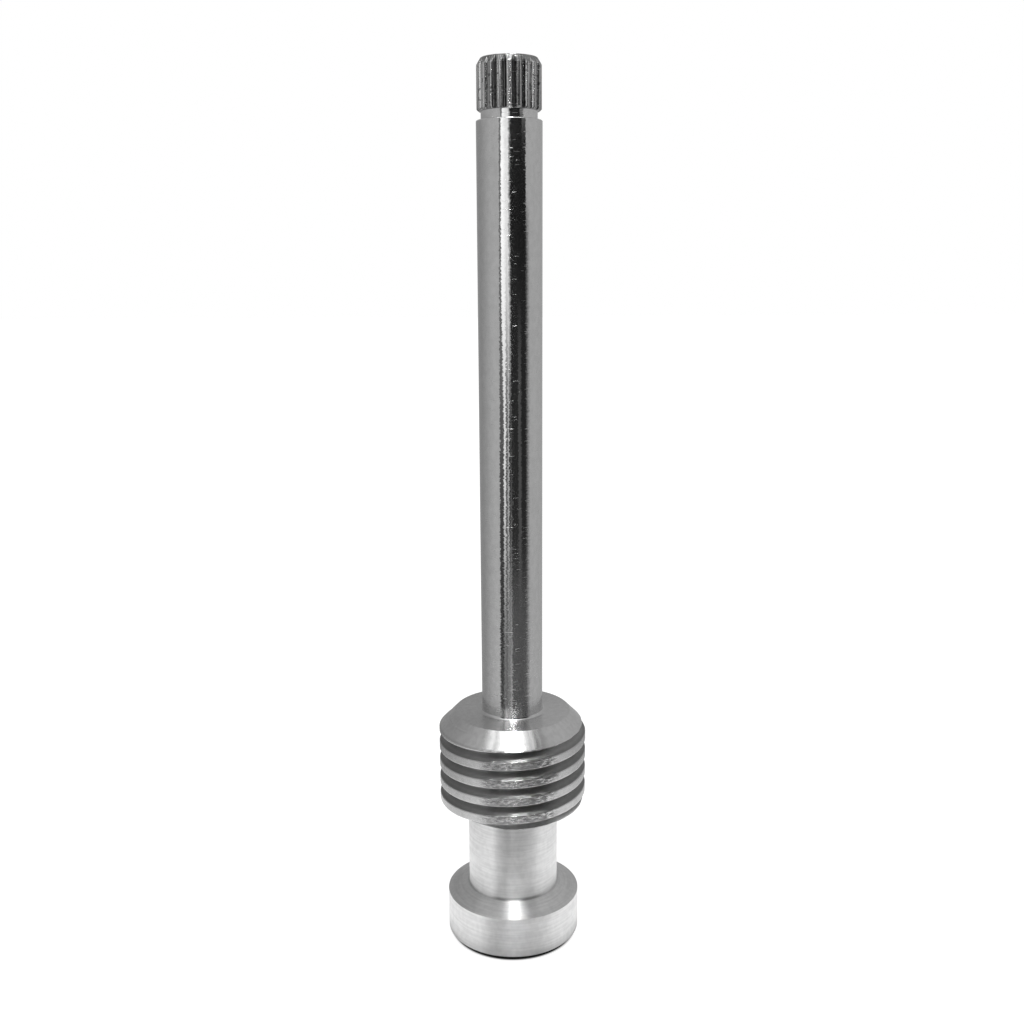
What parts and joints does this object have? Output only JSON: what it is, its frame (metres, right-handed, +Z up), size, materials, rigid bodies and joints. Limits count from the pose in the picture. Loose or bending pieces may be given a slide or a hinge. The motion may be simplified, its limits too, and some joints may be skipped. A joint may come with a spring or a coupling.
{
  "type": "turned valve stem",
  "caption": "Turned metal valve stem with a splined handle end, a long plain shaft, a threaded collar, a plain neck and a disc foot that hangs in a slotted gate.",
  "frame": {"origin": "centre of the foot's flat underside, on the stem's axis", "axes": "+Z up the axis from the foot to the splined end; +X is where the thread's groove is set out from, and +Y completes the frame"},
  "size_m": [0.02, 0.02, 0.1166],
  "materials": {
    "turned_metal": "bright turned metal, polished on the shaft and finely lined on the neck, collar and foot"
  },
  "bodies": {
    "root": {"valve_stem": "turned_metal"}
  },
  "joints": []
}
